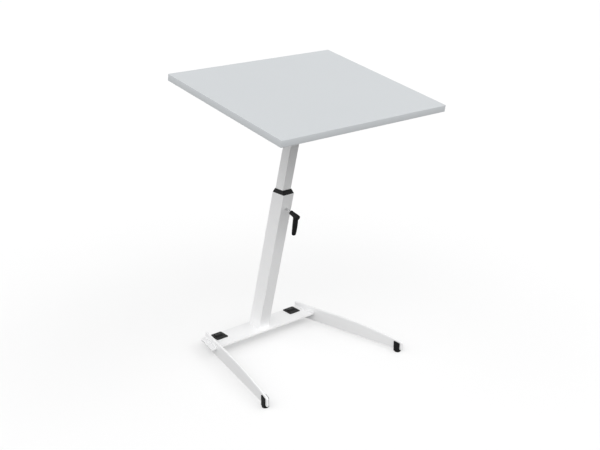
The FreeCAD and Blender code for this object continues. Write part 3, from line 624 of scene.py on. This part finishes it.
# the hub widens from its root to its crown, along the stud
lever_place = Matrix.Translation(joint_spot("lever_turn")) @ Matrix.Rotation(lean + radians(90), 4, "X")
hub_low, hub_high, root_radius, crown_radius = 0.026, 0.068, 0.008, 0.0096
hub_profile = ([(0, hub_low), (root_radius - 0.0004, hub_low), (root_radius, hub_low + 0.0005),
                (0.0086, hub_low + 0.016), (crown_radius, hub_low + 0.03)]
               + arc(crown_radius - 0.0014, hub_high - 0.0016, 0.0014, 0, 90) + [(0, hub_high)])

# the arm hangs from the hub, bows outwards a little, swells in its middle and thins to its tip
arm_reach, arm_out, stations, tip_from = 0.0765, 0.0545, 19, 0.9
arm_half_wide, arm_half_thick, bow, swell = 0.0092, 0.0088, 0.006, 0.009
arm_sections = []
for i in range(stations):
    share = i / (stations - 1)
    out = arm_out + bow * share * (1 - share) + 0.0075 * share
    # the tip closes in over a quarter circle
    closing = max(0.0, (share - tip_from) / (1.001 - tip_from))
    full = (1 - closing * closing) ** 0.5
    half_wide = (arm_half_wide + swell * share * (1 - share) - 0.0013 * share) * full
    half_thick = (arm_half_thick - 0.0026 * share) * full
    heading = Vector((0, -1, 0.12 - 0.16 * share)).normalized()
    arm_sections.append((Vector((0, -arm_reach * share, out)), heading, half_wide, half_thick))
handle = blended("handle", [turned("handle_hub", hub_profile, lever_place),
                            arm("handle_arm", arm_sections, lever_place)], grain=0.0005, passes=6)
handle = drilled(handle, [plug("screw_well", 0.0053, 0.052, 0.08, lever_place),
                          plug("insert_seat", 0.0068, 0.01, 0.0464, lever_place),
                          plug("stud_bore", 0.0043, 0.0, 0.09, lever_place)])
fitted(handle, black_plastic, "lever_grip", "black_plastic", "lever_handle")

sleeve_low, sleeve_high = hub_low + 0.002, hub_low + 0.02
sleeve_bore, sleeve_radius, chamfer_in, chamfer_up = 0.004, 0.0057, 0.0002, 0.0003
teeth = Recipe("serrations", **{"Tooth length": 0.0015, "Tooth width": 0.0011, "Tooth height": 0.0176,
                                "Ring radius": sleeve_radius})
tooth_size = teeth.add("ShaderNodeCombineXYZ", None, {
    "X": teeth.size("Tooth length"), "Y": teeth.size("Tooth width"), "Z": teeth.size("Tooth height")})
tooth = teeth.add("GeometryNodeMeshCube", None, {"Size": tooth_size})
pitch_ring = teeth.add("GeometryNodeMeshCircle", None, {"Vertices": 18, "Radius": teeth.size("Ring radius")})
outward = teeth.add("FunctionNodeAlignRotationToVector", {"axis": "X"},
                    {"Vector": teeth.add("GeometryNodeInputPosition")})
crown = teeth.add("GeometryNodeInstanceOnPoints", None,
                  {"Points": pitch_ring, "Instance": tooth, "Rotation": outward})
serrations = teeth.grown("insert_teeth", crown, zinc, [(0, 0, (sleeve_low + sleeve_high) / 2)], lever_place)
sleeve_profile = [(sleeve_bore, sleeve_low), (sleeve_radius - chamfer_in, sleeve_low),
                  (sleeve_radius, sleeve_low + chamfer_up), (sleeve_radius, sleeve_high - chamfer_up),
                  (sleeve_radius - chamfer_in, sleeve_high), (sleeve_bore, sleeve_high)]
sleeve = turned("insert_sleeve", sleeve_profile, lever_place)
fitted(joined_pieces("insert", [sleeve, serrations]), zinc, "lever_stud", "zinc_steel", "serrated_insert")
frame["nodes"]["clamp_stud"].data.materials[0] = bright_steel


def blackened_steel():
    """Steel blackened in hot oxide: near black, oiled, with a faint brown bloom."""
    steel = Finish("blackened steel", (0.03, 0.029, 0.028), 0.4, Metallic=0.6)
    bloom = steel.noise(500.0, 3.0, 0.6)
    steel.drive("Base Color", steel.shade(bloom, (0.022, 0.022, 0.022), (0.042, 0.04, 0.038)))
    steel.drive("Roughness", 0.32 + 0.2 * bloom)
    steel.drive("Normal", steel.relief(bloom, 0.00002))
    return steel.material


frame["nodes"]["retaining_screw"].data.materials[0] = blackened_steel()

# ---------------------------------------------------------------- tilting head
# A cast alloy plug and lug fill the mast's upper end.  The pivot bolt passes through it on nylon bushes, with
# friction washers each side, and a black star knob clamps it.


def raw_casting():
    """Shot-blasted aluminium: pale, rough and slightly mottled."""
    alloy = Finish("cast alloy", (0.58, 0.585, 0.59), 0.5, Metallic=1.0)
    skin = alloy.noise(420.0, 4.0, 0.65)
    alloy.drive("Base Color", alloy.shade(alloy.noise(40.0, 3.0), (0.52, 0.525, 0.53), (0.64, 0.645, 0.65)))
    alloy.drive("Roughness", 0.42 + 0.22 * skin)
    alloy.drive("Normal", alloy.relief(skin, 0.00012))
    return alloy.material


def natural_nylon():
    """Unpigmented nylon: a warm off-white with a dull machined face."""
    nylon = Finish("natural nylon", (0.76, 0.74, 0.69), 0.5, IOR=1.53)
    marks = nylon.noise(500.0, 3.0)
    nylon.drive("Base Color", nylon.shade(marks, (0.72, 0.7, 0.65), (0.8, 0.78, 0.73)))
    nylon.drive("Roughness", 0.42 + 0.16 * marks)
    nylon.drive("Normal", nylon.relief(marks, 0.00002))
    return nylon.material


cast_alloy, bush_nylon = raw_casting(), natural_nylon()
fitted(edge_rounded("head_casting", "tilt_head", 0.0008), cast_alloy, "mast", "cast_alloy", "tilt_head")
for node in ("pivot_bushes", "friction_washers", "pressure_pad"):
    frame["nodes"][node].data.materials[0] = bush_nylon
for node in ("pivot_bolt", "knob_washer"):
    frame["nodes"][node].data.materials[0] = zinc

slope = radians(10)
worktop_place = Matrix.Translation(joint_spot("tilt")) @ Matrix.Rotation(slope, 4, "X")
knob_low, knob_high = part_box("tilt_knob")
knob_length = knob_high.x - knob_low.x
knob_lobes, core_radius, lobe_radius, lobe_offset, round_over = 5, 0.0142, 0.006, 0.0136, 0.0018
knob_place = worktop_place @ Matrix.Translation((knob_low.x, 0, 0)) @ Matrix.Rotation(radians(90), 4, "Y")
core_profile = ([(0, 0), (core_radius - 0.0007, 0), (core_radius, 0.0008)]
                + arc(core_radius - 0.002, knob_length - 0.002, round_over, 0, 90)
                + [(0.006, knob_length - 0.0012), (0, knob_length - 0.0014)])
lobe_profile = ([(0, 0.0002), (lobe_radius - 0.0008, 0.0002), (lobe_radius, 0.001)]
                + arc(lobe_radius - round_over, knob_length - 0.006, round_over, 0, 90)
                + [(0, knob_length - 0.0042)])
knob_parts = [turned("knob_core", core_profile, knob_place)]
for i in range(knob_lobes):
    spin = Matrix.Rotation(radians(360 / knob_lobes * i), 4, "Z")
    lobe_place = knob_place @ spin @ Matrix.Translation((lobe_offset, 0, 0))
    knob_parts.append(turned("knob_lobe", lobe_profile, lobe_place))
knob = blended("knob", knob_parts, grain=0.0005, passes=5)
knob = drilled(knob, [plug("knob_hole", 0.00505, -0.01, 0.04, knob_place)])
fitted(knob, black_plastic, "tilt_knob", "black_plastic", "tilt_knob")

# ---------------------------------------------------------------- tilt bracket
# A folded and welded black steel bracket under the board, held up by six short screws.

fitted(edge_rounded("bracket", "tilt_bracket", 0.0005), black_coat, "worktop", "black_metal", "tilt_bracket")
screw_across, screw_along, under_bracket = 0.076, 0.061, 0.024
screw_spots = [(x, y, under_bracket) for x in (-screw_across, 0, screw_across)
               for y in (-screw_along, screw_along)]
board_screws = screws("board_screw_set", zinc, screw_spots, worktop_place, **{
    "Shank radius": 0.00225, "Length": 0.018, "Head radius": 0.0045, "Head height": 0.0026,
    "Socket radius": 0.002})
fitted(board_screws, zinc, "worktop", "zinc_steel", "board_screws")

# ---------------------------------------------------------------- worktop
# Chipboard faced with fine-textured grey melamine, 23 mm thick, with a 2 mm strip of the same grey hot-glued
# round its edge, scraped and rounded over.


def grey_laminate():
    """Pearl-textured melamine: almost even, with a fine speckle and a soft sheen."""
    laminate = Finish("grey laminate", (0.55, 0.572, 0.588), 0.42, IOR=1.5)
    speck = laminate.noise(1400.0, 2.0, 0.6)
    clouds = laminate.noise(3.0, 3.0)
    laminate.drive("Base Color", laminate.shade(0.6 * clouds + 0.4 * speck, (0.536, 0.558, 0.574),
                                                (0.564, 0.586, 0.602)))
    laminate.drive("Roughness", 0.36 + 0.12 * speck + 0.06 * laminate.noise(12.0, 4.0))
    laminate.drive("Normal", laminate.relief(speck, 0.00003))
    return laminate.material


def edge_strip():
    """The strip's extruded skin: fine lines along its length and a slightly duller sheen."""
    strip = Finish("grey edge strip", (0.55, 0.572, 0.588), 0.48, IOR=1.5)
    lines = strip.noise(240.0, 3.0, 0.6, strip.stretched((0.12, 0.12, 9.0), (-slope, 0, 0)))
    strip.drive("Base Color", strip.shade(lines, (0.538, 0.56, 0.576), (0.562, 0.584, 0.6)))
    strip.drive("Roughness", 0.4 + 0.16 * lines)
    strip.drive("Normal", strip.relief(lines, 0.00003))
    return strip.material


laminate, strip = grey_laminate(), edge_strip()
frame["nodes"]["top_board"].data.materials[0] = laminate
board_above, board_shift, half_x, half_y, thick = 0.028, 0.035, 0.35, 0.3, 0.023
band, lip, corner, scrape = 0.002, 0.0009, 0.0018, 0.00015
board_place = worktop_place @ Matrix.Translation((0, -board_shift, board_above))
eighths = [pi / 8, pi / 4, 3 * pi / 8]
# the strip's section, as how far in from the board's edge and how high, from its inner foot round the outside
band_section = ([(band, 0.0), (lip, 0.0)] + [(lip * (1 - sin(a)), lip * (1 - cos(a))) for a in eighths]
                + [(0.0, lip), (0.0, thick - lip)]
                + [(lip * (1 - cos(a)), thick - lip * (1 - sin(a))) for a in eighths]
                + [(lip, thick), (band - scrape, thick), (band, thick - scrape)])
band_loops = [rounded_loop(half_x - inset, half_y - inset, max(corner - inset, 0.0004), height)
              for inset, height in band_section]
fitted(ringed("edge_strip", band_loops, board_place), strip, "worktop", "worktop_edge", "edge_bands")

# ---------------------------------------------------------------- studio
# A white floor without an edge, a soft sky with large lights on every side, and the camera.

floor_glow, floor_reach = 0.42, 30.0
floor_finish = Finish("white studio floor", (0.5, 0.5, 0.5), 0.95, IOR=1.2, Emission_Strength=floor_glow,
                      Emission_Color=(1, 1, 1, 1))
floor_finish.drive("Base Color", floor_finish.shade(floor_finish.noise(3.0, 2.0), (0.497, 0.497, 0.497),
                                                    (0.503, 0.503, 0.503)))
floor_mesh = bpy.data.meshes.new("floor")
floor_corners = [(-floor_reach, -floor_reach, 0), (floor_reach, -floor_reach, 0),
                 (floor_reach, floor_reach, 0), (-floor_reach, floor_reach, 0)]
floor_mesh.from_pydata(floor_corners, [], [(0, 1, 2, 3)])
floor_mesh.materials.append(floor_finish.material)
floor = bpy.data.objects.new("floor", floor_mesh)
bpy.context.scene.collection.objects.link(floor)
floor.visible_diffuse = False
floor.visible_glossy = False

world = bpy.data.worlds.new("studio")
world.use_nodes = True
bpy.context.scene.world = world
sky = Bench(world.node_tree)
world.node_tree.nodes.clear()
direction = sky.add("ShaderNodeSeparateXYZ", None, [sky.add("ShaderNodeTexCoord", out="Generated")])
height = direction.output("Z") * 0.5 + 0.5


def facing(axis, sign):
    """How far a direction of the sky faces one side."""
    return sky.add("ShaderNodeMath", {"operation": "MAXIMUM"}, [direction.output(axis) * sign, 0.0])


def bands(*levels):
    """A strength that changes with height: at the floor, just under the horizon, then up to overhead."""
    heights, brightest = (-1, -0.05, 0.15, 0.45, 0.75, 1.0), 6.0
    greys = [level / brightest for level in levels]
    stops = [((z + 1) / 2, (grey, grey, grey, 1)) for z, grey in zip(heights, greys)]
    return sky.add("ShaderNodeValToRGB", {"stops": [stops[0], stops[-1]] + stops[1:-1]}, [height]) * brightest


strength = (bands(0, 0.68, 0, 0, 0.16, 0) + bands(0, 0, 1.0, 1.02, 2.9, 0) * facing("X", -1)
            + bands(0, 0, 0, 2.2, 4.9, 0) * facing("Y", -1) + bands(0, 0, 1.3, 0, 1.44, 0) * facing("X", 1)
            + bands(0, 0, 1.9, 0, 0, 0) * facing("Y", 1))
backdrop = sky.add("ShaderNodeBackground", None, {"Color": (1, 1, 1, 1), "Strength": strength})
sky.add("ShaderNodeOutputWorld", None, {"Surface": backdrop})

camera_data = bpy.data.cameras.new("camera")
camera_data.sensor_width = 36.0
camera_data.lens = 59.1
camera = bpy.data.objects.new("camera", camera_data)
camera.location = (-2.0767, -2.4517, 1.7008)
camera.rotation_euler = (radians(90 - 20.08), 0, radians(-40))
bpy.context.scene.collection.objects.link(camera)
bpy.context.scene.camera = camera
bpy.context.scene.view_settings.view_transform = "Standard"
